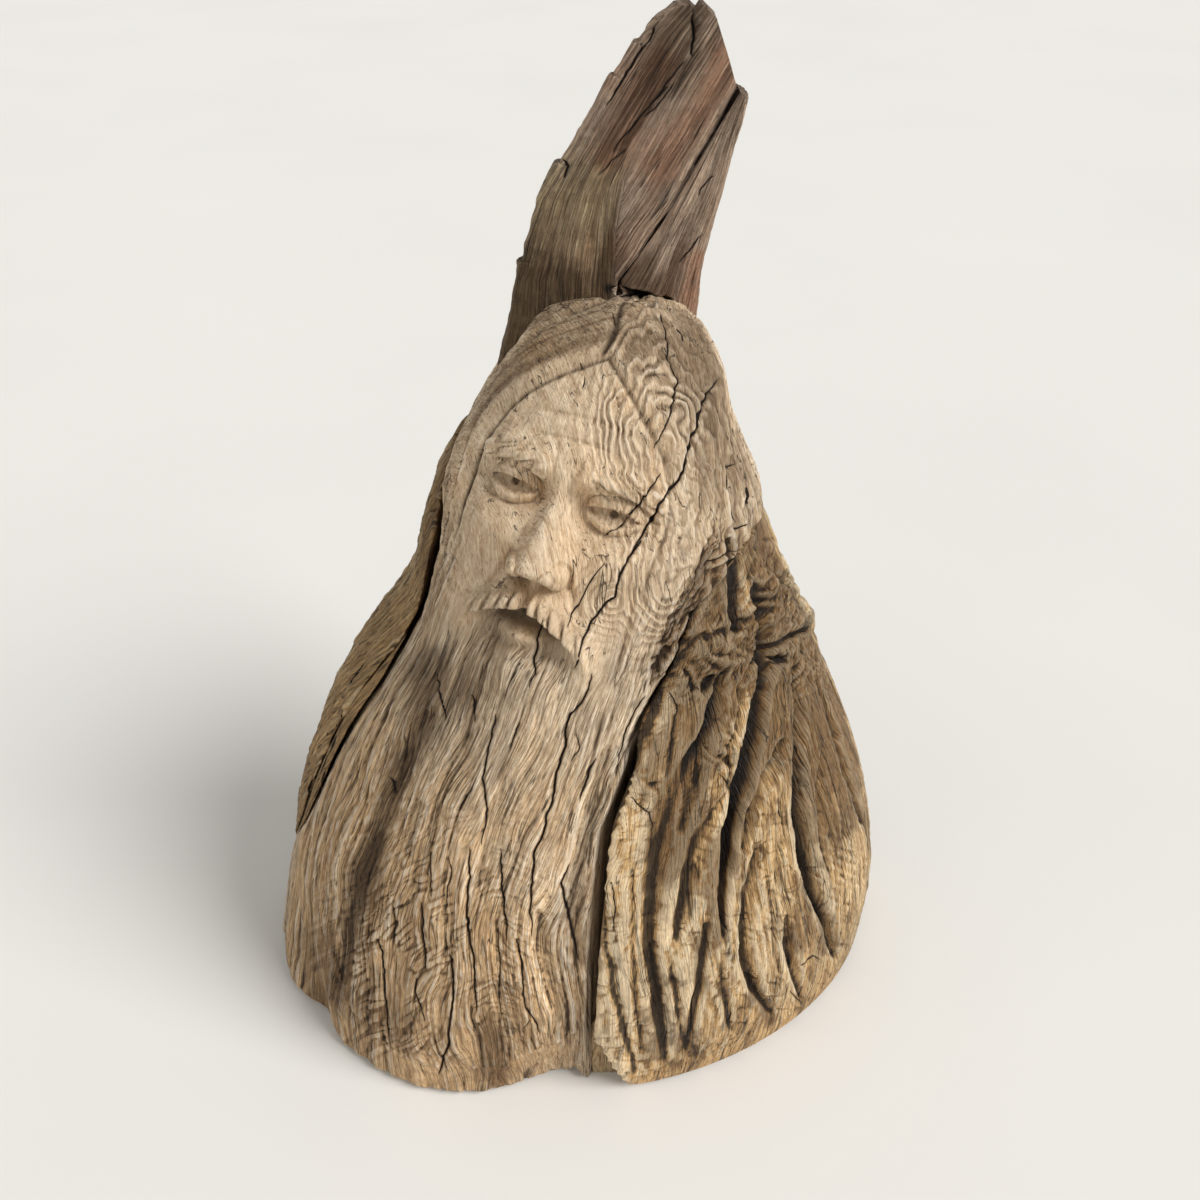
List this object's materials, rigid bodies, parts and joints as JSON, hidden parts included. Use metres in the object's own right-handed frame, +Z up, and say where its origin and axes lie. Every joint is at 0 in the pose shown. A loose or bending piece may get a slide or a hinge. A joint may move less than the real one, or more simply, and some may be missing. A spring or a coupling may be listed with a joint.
{
  "type": "carved log figure",
  "caption": "Weathered log carved as the head of a long-bearded wood spirit, with split-off hair blocks and a tall riven crest behind the crown.",
  "frame": {"origin": "on the floor, under the middle of the carved log's flat base", "axes": "+Z up, +X to the viewer's right when facing the carved face, +Y to the back"},
  "size_m": [0.618, 0.3353, 0.893],
  "materials": {
    "carved_log": "sanded and weathered, bare",
    "golden_log": "gnarled root wood, waxed over dark grooves",
    "weathered_slab": "rough split face, weathered",
    "crest_wood": "riven and weathered, bare",
    "dowel_wood": "turned hardwood, bare"
  },
  "bodies": {
    "root": {"head_and_beard": "carved_log", "right_hair_block": "golden_log", "left_hair_slab": "weathered_slab", "left_hair_flake": "weathered_slab", "beard_sliver": "golden_log", "crest": "crest_wood", "crest_right_slab": "crest_wood", "right_block_dowel_low": "dowel_wood", "right_block_dowel_middle": "dowel_wood", "right_block_dowel_high": "dowel_wood", "left_slab_dowel_low": "dowel_wood", "left_slab_dowel_high": "dowel_wood", "crest_dowel_left": "dowel_wood", "crest_dowel_right": "dowel_wood", "crest_slab_dowel": "dowel_wood", "crest_cross_dowel": "dowel_wood", "sliver_dowel": "dowel_wood"}
  },
  "joints": []
}
